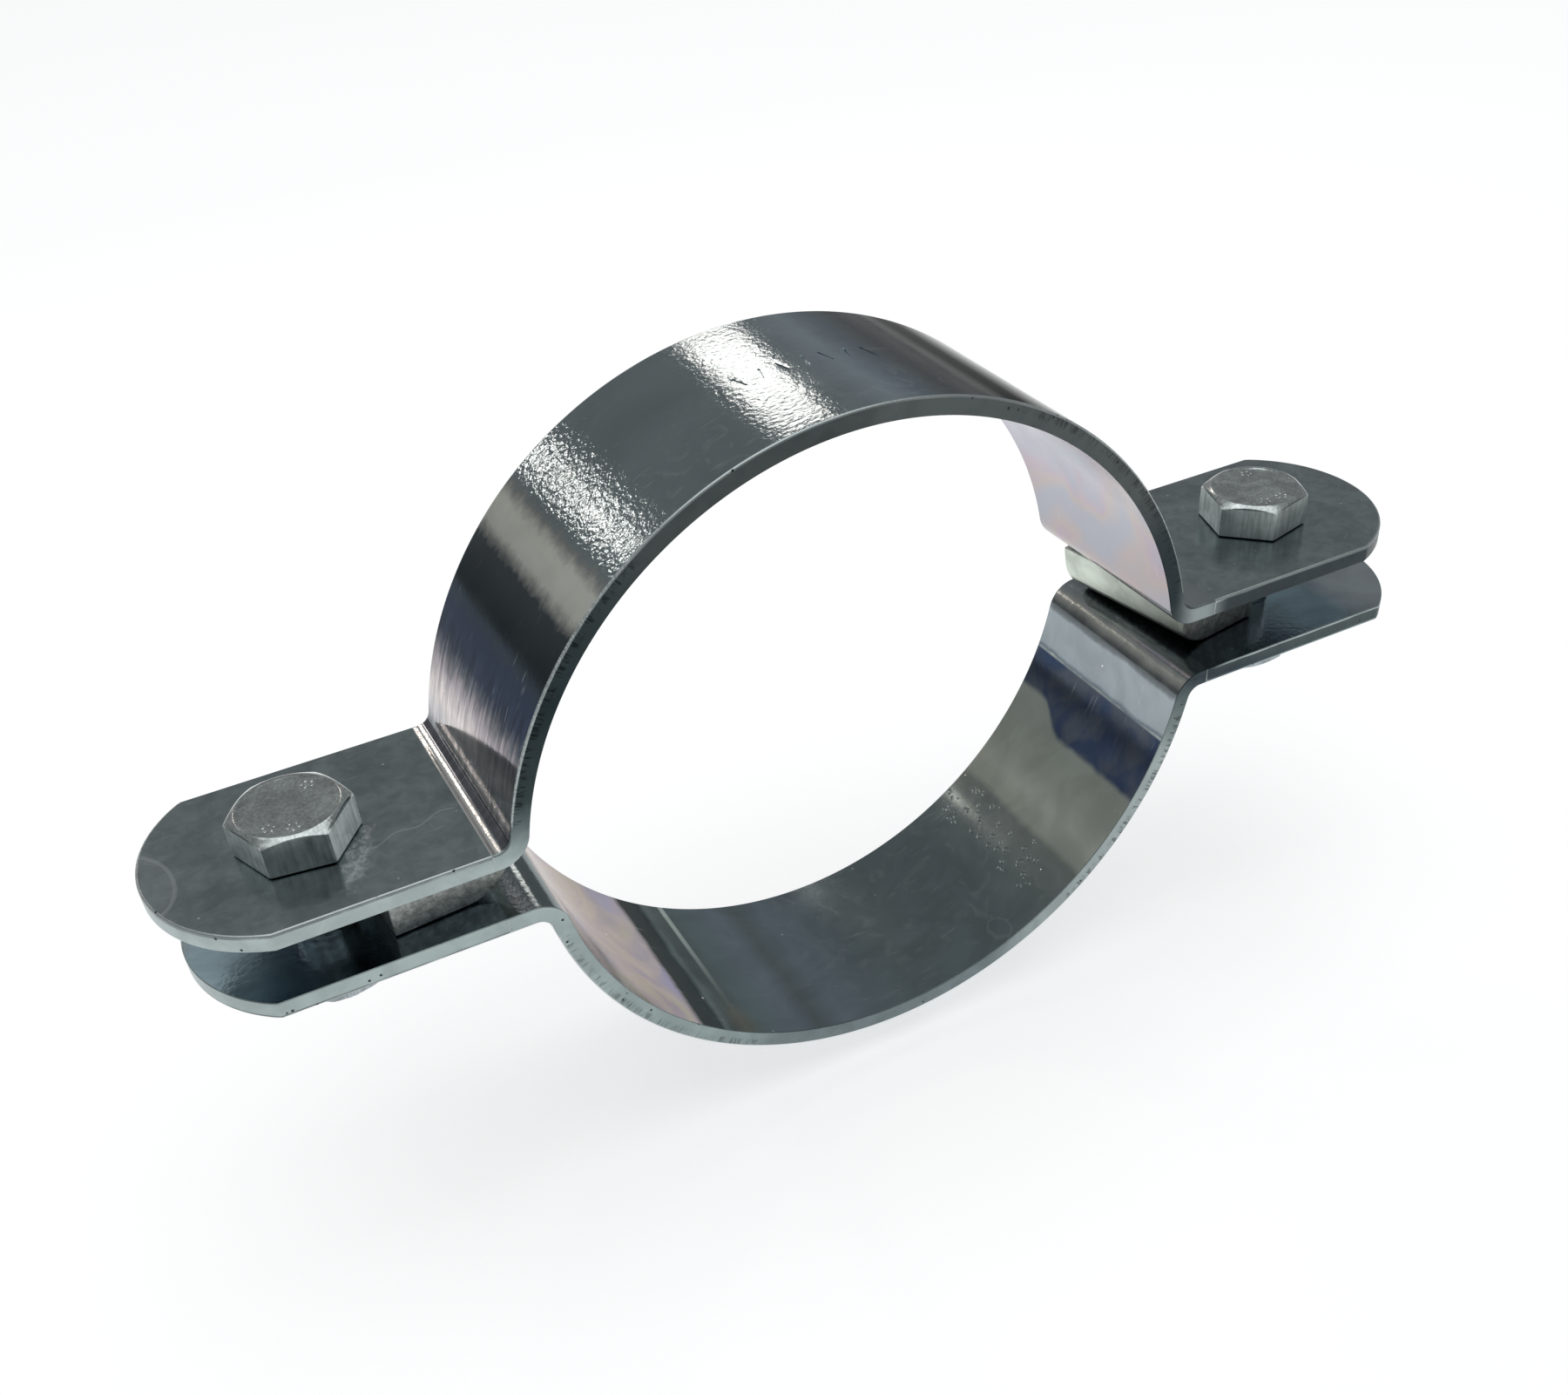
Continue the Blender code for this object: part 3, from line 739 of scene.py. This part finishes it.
def edge_profile():
    """Inset and depth of the strip's edge, from the outer skin to the pipe side."""
    rolled = [(ROLLED_EDGE * (1 - sin(a)), ROLLED_EDGE * (1 - cos(a))) for a in quarter_turn(4)]
    sheared = [(SHEARED_EDGE * (1 - cos(a)), STRIP_THICKNESS - SHEARED_EDGE * (1 - sin(a)))
               for a in quarter_turn(3)]
    return rolled + sheared


def section(place, profile):
    """Closed loop of points around the strip; place gives a point from inset, depth and side."""
    front = [place(inset, depth, -1) for inset, depth in profile]
    back = [place(inset, depth, 1) for inset, depth in profile]
    shares = [step / ACROSS_CUTS for step in range(1, ACROSS_CUTS)]
    inner = [front[-1].lerp(back[-1], share) for share in shares]
    outer = [back[0].lerp(front[0], share) for share in shares]
    return front + inner + back[::-1] + outer


def tip_place(tip, height, side, angle, half_width):
    """Point maker for a cut across an ear's rounded end."""
    def place(inset, depth, sign):
        reach = EAR_TIP_RADIUS - inset
        limit = half_width - inset
        x = tip - side * EAR_TIP_RADIUS + side * reach * cos(angle)
        y = EAR_TIP_SHIFT + sign * reach * sin(angle)
        return Vector((x, min(max(y, -limit), limit), height + STRIP_THICKNESS - depth))
    return place


def plain_place(inner, normal, half_width):
    """Point maker for a straight cut, from the pipe-side point and the way to the outer skin."""
    def place(inset, depth, sign):
        rise = STRIP_THICKNESS - depth
        y = sign * (half_width - inset)
        return Vector((inner[0] + rise * normal[0], y, inner[1] + rise * normal[1]))
    return place


def bend_cuts(arc, height, side):
    """Pipe-side points and normals through the bend beside the arc, from the ear to the arc."""
    middle_z = height + STRIP_THICKNESS + BEND_RADIUS
    reach = PIPE_RADIUS + STRIP_THICKNESS + BEND_RADIUS
    offset = side * sqrt(reach ** 2 - (middle_z - arc[1]) ** 2)
    arc_angle = atan2(middle_z - arc[1], offset)
    end = arc_angle + (pi if side > 0 else -pi)
    start = 1.5 * pi if side > 0 else -0.5 * pi
    radius = BEND_RADIUS + STRIP_THICKNESS
    cuts = []
    for step in range(BEND_CUTS + 1):
        angle = start + (end - start) * step / BEND_CUTS
        spoke = (cos(angle), sin(angle))
        inner = (arc[0] + offset + radius * spoke[0], middle_z + radius * spoke[1])
        cuts.append((inner, (-spoke[0], -spoke[1])))
    return cuts, arc_angle


def half_sections(shape, half_width):
    """Every cut of a half, from its left ear's tip over the arc to its right ear's tip."""
    profile = edge_profile()
    arc = shape["arc"]
    sides = []
    arc_angles = []
    for index, side in enumerate((-1, 1)):
        tip = shape["tips"][index]
        height = shape["ears"][index]
        corner = asin((half_width + EAR_TIP_SHIFT) / EAR_TIP_RADIUS)
        bend, arc_angle = bend_cuts(arc, height, side)
        places = []
        for step in range(TIP_CUTS + 1):
            places.append(tip_place(tip, height, side, corner * step / TIP_CUTS, half_width))
        corner_x = tip - side * EAR_TIP_RADIUS * (1 - cos(corner))
        for step in range(1, EAR_CUTS):
            x = corner_x + (bend[0][0][0] - corner_x) * step / EAR_CUTS
            places.append(plain_place((x, height), (0.0, 1.0), half_width))
        places += [plain_place(inner, normal, half_width) for inner, normal in bend]
        sides.append(places)
        arc_angles.append(arc_angle)
    over = []
    for step in range(1, ARC_CUTS):
        angle = arc_angles[0] + (arc_angles[1] - arc_angles[0]) * step / ARC_CUTS
        spoke = (cos(angle), sin(angle))
        over.append(plain_place((arc[0] + PIPE_RADIUS * spoke[0], arc[1] + PIPE_RADIUS * spoke[1]),
                                spoke, half_width))
    places = sides[0] + over + sides[1][::-1]
    return [section(place, profile) for place in places], len(profile)


def cut_away(piece, cutter):
    """Subtract a closed mesh from a piece and drop the cutter."""
    modifier = piece.modifiers.new("cut", "BOOLEAN")
    modifier.object = cutter
    modifier.solver = "EXACT"
    bpy.context.view_layer.update()
    mesh = bpy.data.meshes.new_from_object(piece.evaluated_get(bpy.context.evaluated_depsgraph_get()))
    piece.modifiers.remove(modifier)
    piece.data = mesh
    bpy.data.objects.remove(cutter, do_unlink=True)


def add_tally_strokes(builder, arc):
    """Add thin leaning boxes that sink slightly into the crown of the arc."""
    reach = PIPE_RADIUS + STRIP_THICKNESS
    first, last = STROKE_LEANS
    for step in range(STROKE_COUNT):
        lean = radians(first + (last - first) * step / (STROKE_COUNT - 1))
        stroke = bmesh.ops.create_cube(builder, size=1.0)
        size = Matrix.Diagonal((STROKE_WIDTH, STROKE_LENGTH, 2 * STROKE_DEPTH, 1.0))
        slant = Matrix.Rotation(radians(14.0 if step % 2 else -14.0), 4, "Z")
        place = Matrix.Translation((arc[0], 0.0, arc[1])) @ Matrix.Rotation(-lean, 4, "Y")
        bmesh.ops.transform(builder, matrix=place @ Matrix.Translation((0.0, 0.0, reach)) @ slant @ size,
                            verts=stroke["verts"])


def half_clamp(side, shape, up, materials):
    """Pressed half with rounded arrises and a bolt hole through each ear."""
    half_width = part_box("upper_half_clamp")[1][1]
    loops, edge_points = half_sections(shape, half_width)
    builder = bmesh.new()
    rings = [[builder.verts.new((p.x, up * p.y, up * p.z)) for p in loop] for loop in loops]
    count = len(rings[0])
    across = (count - 2 * edge_points) // 2 + 1
    for first, second in zip(rings, rings[1:]):
        for index in range(count):
            after = (index + 1) % count
            face = builder.faces.new((first[index], first[after], second[after], second[index]))
            on_inner = edge_points - 1 <= index < edge_points - 1 + across
            on_outer = index >= count - across
            face.material_index = 0 if on_outer else 1 if on_inner else 2
    bmesh.ops.remove_doubles(builder, verts=builder.verts, dist=0.002 * MM)
    piece = place_piece(side + "_half", builder, materials)
    drill = bmesh.new()
    for outward in (-1, 1):
        plug = bmesh.ops.create_cone(drill, cap_ends=True, segments=64, depth=20 * MM,
                                     radius1=HOLE_RADIUS, radius2=HOLE_RADIUS)
        bmesh.ops.translate(drill, verts=plug["verts"], vec=(outward * BOLT_X, 0.0, up * 10 * MM))
    if side == "upper":
        add_tally_strokes(drill, shape["arc"])
    cutter = add_object("drill", drill, materials)
    for polygon in cutter.data.polygons:
        polygon.material_index = 2 if polygon.area > 2 * STROKE_LENGTH * STROKE_WIDTH else 0
    cut_away(piece, cutter)
    piece.data.set_sharp_from_angle(angle=SHARP_ANGLE)
    register(piece, side + "_half", side + "_half_clamp")
    return piece


def hexagon_radius(angle):
    """Distance from the axis to the side of the hexagon; a slightly rounded corner lies at angle 0."""
    sector = angle % (pi / 3) - pi / 6
    return min(0.5 * ACROSS_FLATS / cos(sector), HEX_CORNER_RADIUS)


def turned_body(rows, steps, ring_shaped):
    """Skin of a turned piece; a row is a radius and a height, or a function that gives both by angle."""
    builder = bmesh.new()
    angles = [2 * pi * step / steps for step in range(steps)]
    rings = []
    for row in rows:
        ring = []
        for angle in angles:
            radius, height = row(angle) if callable(row) else row
            ring.append(builder.verts.new((radius * cos(angle), radius * sin(angle), height)))
        rings.append(ring)
    if ring_shaped:
        rings.append(rings[0])
    for first, second in zip(rings, rings[1:]):
        for index in range(steps):
            after = (index + 1) % steps
            builder.faces.new((first[index], first[after], second[after], second[index]))
    if not ring_shaped:
        builder.faces.new(rings[0])
        builder.faces.new(rings[-1])
    return builder


def hexagon_row(inset, height):
    """Row on the sides of the hexagon."""
    return lambda angle: (hexagon_radius(angle) - inset, height)


def chamfer_row(share, drop, height, way):
    """Row on the 30 degree cone that cuts the hexagon's corners, share of the way outwards."""
    def row(angle):
        reach = hexagon_radius(angle)
        radius = FACE_RADIUS + share * (reach - EDGE_BREAK - FACE_RADIUS)
        fall = (radius - FACE_RADIUS) * CHAMFER_SLOPE + drop
        return (radius if drop == 0 else reach, height - way * fall)
    return row


def thread_row(height):
    """Row across the bolt's helical thread."""
    end = -BOLT_LENGTH

    def row(angle):
        phase = (height / PITCH - angle / (2 * pi)) % 1.0
        crest = min(max((abs(2 * phase - 1) - 0.12) / 0.7, 0.0), 1.0)
        radius = THREAD_ROOT + (THREAD_RADIUS - THREAD_ROOT) * crest
        return min(radius, THREAD_RADIUS - END_CHAMFER + (height - end)), height
    return row


def add_pips(builder, x, y, count, spread, turn):
    """Ring of small raised dots, in place of lettering."""
    for step in range(count):
        angle = turn + 2 * pi * step / count
        pip = bmesh.ops.create_icosphere(builder, subdivisions=2, radius=0.34 * MM)
        place = (x + spread * cos(angle), y + spread * sin(angle),
                 HEAD_HEIGHT - DISH_DEPTH - 0.05 * MM)
        flat = Matrix.Diagonal((1.0, 1.0, 0.45, 1.0))
        bmesh.ops.transform(builder, matrix=Matrix.Translation(place) @ flat, verts=pip["verts"])


def hex_bolt(side, material):
    """Hexagon bolt with a dished and chamfered head and a helical thread."""
    top = HEAD_HEIGHT
    dish = top - DISH_DEPTH
    rows = [(0.4 * MM, dish), (0.9 * DISH_RADIUS, dish), (DISH_RADIUS, dish),
            (DISH_RADIUS + 0.14 * MM, top - 0.01 * MM), (FACE_RADIUS - 0.15 * MM, top),
            (FACE_RADIUS, top - 0.03 * MM)]
    rows += [chamfer_row(share, 0, top - 0.03 * MM, 1) for share in (0.25, 0.5, 0.75, 1.0)]
    rows += [chamfer_row(1.0, EDGE_BREAK, top - 0.03 * MM, 1)]
    rows += [hexagon_row(0.0, 0.5 * top), hexagon_row(0.0, EDGE_BREAK), hexagon_row(EDGE_BREAK, 0.0),
             (THREAD_RADIUS + 0.5 * MM, 0.0), (THREAD_RADIUS - 0.1 * MM, -0.4 * MM)]
    thread_rows = int(BOLT_LENGTH / PITCH * THREAD_STEPS) - 4
    rows += [thread_row(-0.6 * MM - step * PITCH / THREAD_STEPS) for step in range(thread_rows)]
    rows += [(THREAD_RADIUS - END_CHAMFER, -BOLT_LENGTH), (0.4 * MM, -BOLT_LENGTH)]
    builder = turned_body(rows, HEXAGON_STEPS, False)
    for x, y, turn in PIP_RINGS:
        add_pips(builder, x, y, 5, 0.85 * MM, turn)
    piece = place_piece("bolt_" + side, builder, [material])
    low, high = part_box("hex_bolt_" + side)
    piece.location = ((low[0] + high[0]) / 2, 0.0, high[2] - HEAD_HEIGHT)
    piece.rotation_euler = (0.0, 0.0, radians(TURNS[side]["head"]))
    register(piece, "bolt_" + side, "hex_bolt_" + side)


def hex_nut(side, material):
    """Hexagon nut, chamfered on both faces, with a countersunk bore."""
    low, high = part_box("hex_nut_" + side)
    height = high[2] - low[2]
    sink = 0.7 * MM
    rows = [(NUT_BORE_RADIUS, -sink), (NUT_BORE_RADIUS + sink, 0.0),
            (FACE_RADIUS, 0.0)]
    rows += [chamfer_row(share, 0, 0.0, 1) for share in (0.33, 0.66, 1.0)]
    rows += [chamfer_row(1.0, EDGE_BREAK, 0.0, 1), hexagon_row(0.0, -0.5 * height)]
    rows += [chamfer_row(1.0, EDGE_BREAK, -height, -1)]
    rows += [chamfer_row(share, 0, -height, -1) for share in (1.0, 0.66, 0.33)]
    rows += [(FACE_RADIUS, -height), (NUT_BORE_RADIUS + sink, -height),
             (NUT_BORE_RADIUS, sink - height)]
    piece = place_piece("nut_" + side, turned_body(rows, HEXAGON_STEPS, True), [material])
    piece.location = ((low[0] + high[0]) / 2, 0.0, high[2])
    piece.rotation_euler = (0.0, 0.0, radians(TURNS[side]["nut"]))
    register(piece, "nut_" + side, "hex_nut_" + side)


def flat_washer(side, material):
    """Punched washer, rolled over at the top and sharp below."""
    low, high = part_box("washer_" + side)
    height = high[2] - low[2]
    roll = 0.35 * MM
    rows = []
    for a in quarter_turn(4):
        rows.append((WASHER_BORE_RADIUS + roll * (1 - sin(a)), -roll * (1 - cos(a))))
    rows = rows[::-1]
    for a in quarter_turn(4):
        rows.append((WASHER_RADIUS - roll * (1 - sin(a)), -roll * (1 - cos(a))))
    sharp = 0.1 * MM
    rows += [(WASHER_RADIUS, sharp - height), (WASHER_RADIUS - sharp, -height),
             (WASHER_BORE_RADIUS + sharp, -height), (WASHER_BORE_RADIUS, sharp - height)]
    piece = place_piece("washer_" + side, turned_body(rows, WASHER_STEPS, True), [material])
    piece.location = ((low[0] + high[0]) / 2, 0.0, high[2])
    register(piece, "lower_half", "washer_" + side)


def spacer(side, material):
    """Loose block between the ears, flat below, its lower pipe-side edge rounded off."""
    low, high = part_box("spacer_" + side)
    height = high[2] - low[2]
    outward = TURNS[side]["outward"]
    leaning = height - SPACER_ROUND * (1.0 - sin(SPACER_DRAFT))
    round_x = SPACER_ROUND * cos(SPACER_DRAFT) + leaning * tan(SPACER_DRAFT)
    outline = [(SPACER_LENGTH, height), (SPACER_LENGTH, 0.0)]
    for step in range(17):
        angle = -pi / 2 + (SPACER_DRAFT - pi / 2) * step / 16
        outline.append((round_x + SPACER_ROUND * cos(angle), SPACER_ROUND * (1 + sin(angle))))
    outline.append((0.0, height))
    builder = bmesh.new()
    front = []
    back = []
    for x, z in outline:
        front.append(builder.verts.new((outward * (x - SPACER_LENGTH / 2), -SPACER_DEPTH / 2, z)))
        back.append(builder.verts.new((outward * (x - SPACER_LENGTH / 2), SPACER_DEPTH / 2, z)))
    builder.faces.new(front)
    builder.faces.new(back)
    for step in range(len(outline)):
        after = (step + 1) % len(outline)
        builder.faces.new((front[step], front[after], back[after], back[step]))
    bmesh.ops.recalc_face_normals(builder, faces=builder.faces)
    corners = [edge for edge in builder.edges if edge.calc_face_angle() > radians(30.0)]
    bmesh.ops.bevel(builder, geom=corners, offset=SPACER_EDGE, segments=3, profile=0.5, affect="EDGES")
    piece = place_piece("spacer_block_" + side, builder, [material])
    piece.location = ((low[0] + high[0]) / 2, (low[1] + high[1]) / 2, low[2])
    piece.rotation_euler = (0.0, 0.0, radians(TURNS[side]["spacer"]))
    register(piece, "lower_half", "spacer_" + side)


# ---- stage, lights and camera

def pale_floor(height):
    """Plain pale floor under the clamp."""
    builder = bmesh.new()
    bmesh.ops.create_grid(builder, x_segments=1, y_segments=1, size=6.0)
    material = bpy.data.materials.new("pale_floor")
    material.use_nodes = True
    shader = material.node_tree.nodes["Principled BSDF"]
    shader.inputs["Base Color"].default_value = (0.86, 0.86, 0.86, 1.0)
    shader.inputs["Roughness"].default_value = 0.9
    shader.inputs["Emission Color"].default_value = (1.0, 1.0, 1.0, 1.0)
    shader.inputs["Emission Strength"].default_value = FLOOR_GLOW
    floor = add_object("floor", builder, [material])
    floor.location = (0.0, 0.0, height)


def panel_light(name, place, size, power, colour, target, turn=0.0):
    """Soft rectangular light aimed at target, turned about its own axis by turn degrees."""
    lamp = bpy.data.lights.new(name, "AREA")
    lamp.shape = "RECTANGLE"
    lamp.size = size[0]
    lamp.size_y = size[1]
    lamp.energy = power
    lamp.color = colour
    light = bpy.data.objects.new(name, lamp)
    aim = (Vector(target) - Vector(place)).to_track_quat("-Z", "Y").to_matrix().to_4x4()
    light.matrix_world = Matrix.Translation(place) @ aim @ Matrix.Rotation(radians(turn), 4, "Z")
    light.visible_camera = False
    bpy.context.scene.collection.objects.link(light)


def studio():
    """Soft grey surroundings, a large lamp overhead and three narrow ones behind the clamp."""
    world = bpy.data.worlds.new("studio")
    world.use_nodes = True
    background = world.node_tree.nodes["Background"]
    background.inputs["Color"].default_value = (0.98, 1.0, 1.02, 1.0)
    background.inputs["Strength"].default_value = SKY_LIGHT
    bpy.context.scene.world = world
    panel_light("overhead", (0.0, 0.0, 2.2), (2.4, 2.4), 18.0, NEUTRAL_LAMP, (0.0, 0.0, 0.0))
    facing = Vector((0.0, -1.0, 0.0))
    for name, place, size, power, turn in NARROW_LAMPS:
        panel_light(name, place, size, power, WARM_LAMP, Vector(place) + facing, turn)


def camera():
    """Camera at the photograph's viewpoint."""
    lens = bpy.data.cameras.new("camera")
    lens.sensor_width = 36.0
    lens.lens = 37.14
    lens.shift_x = -0.0157
    lens.shift_y = 0.1252
    lens.clip_start = 0.01
    view = bpy.data.objects.new("camera", lens)
    view.location = (-0.105, -0.210, 0.1563)
    view.rotation_euler = (radians(49.575), radians(3.299), radians(-27.941))
    bpy.context.scene.collection.objects.link(view)
    bpy.context.scene.camera = view
    bpy.context.scene.view_settings.view_transform = "Standard"


# ---- assembly

UPPER_LOW, UPPER_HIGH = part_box("upper_half_clamp")
LOWER_LOW, LOWER_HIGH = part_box("lower_half_clamp")
BOLT_LOW, BOLT_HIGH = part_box("hex_bolt_right")
BOLT_X = (BOLT_LOW[0] + BOLT_HIGH[0]) / 2
UPPER_SHAPE = {"arc": (ARC_X["upper"], UPPER_HIGH[2] - PIPE_RADIUS - STRIP_THICKNESS),
               "tips": (UPPER_LOW[0], UPPER_HIGH[0]), "ears": (UPPER_LOW[2], UPPER_LOW[2])}
LOWER_SHAPE = {"arc": (ARC_X["lower"], -LOWER_LOW[2] - PIPE_RADIUS - STRIP_THICKNESS),
               "tips": (LOWER_LOW[0], LOWER_HIGH[0]),
               "ears": tuple(TOUCH_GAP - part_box("spacer_" + side)[0][2] for side in TURNS)}


def build():
    upper_arc = UPPER_SHAPE["arc"]
    lower_arc = (LOWER_SHAPE["arc"][0], -LOWER_SHAPE["arc"][1])
    half_clamp("upper", UPPER_SHAPE, 1, [
        upper_outer_zinc(upper_arc, UPPER_SHAPE["tips"][0]), upper_inner_zinc(),
        sheared_zinc("upper_edge_zinc", upper_arc, 1, UPPER_EDGE_REFLECTIONS, UPPER_SHAPE["ears"])])
    half_clamp("lower", LOWER_SHAPE, -1, [
        lower_outer_zinc(), lower_inner_zinc(lower_arc),
        sheared_zinc("lower_edge_zinc", lower_arc, -1, LOWER_EDGE_REFLECTIONS, LOWER_SHAPE["ears"])])
    for seed, side in enumerate(TURNS):
        hex_bolt(side, fastener_zinc("bolt_zinc_" + side, (0.52, 0.56, 0.55), 0.13 + seed,
                                     HEAD_FLANK_LIGHT[side]))
        hex_nut(side, fastener_zinc("nut_zinc_" + side, (0.32, 0.36, 0.38), 2.13 + seed))
        flat_washer(side, fastener_zinc("washer_zinc_" + side, (0.20, 0.23, 0.26), 4.13 + seed))
        spacer(side, spacer_zinc(side, 6.13 + seed))
    pale_floor(CAD_BOX[0][2] - SLIDE_TRAVEL)
    studio()
    camera()


build()
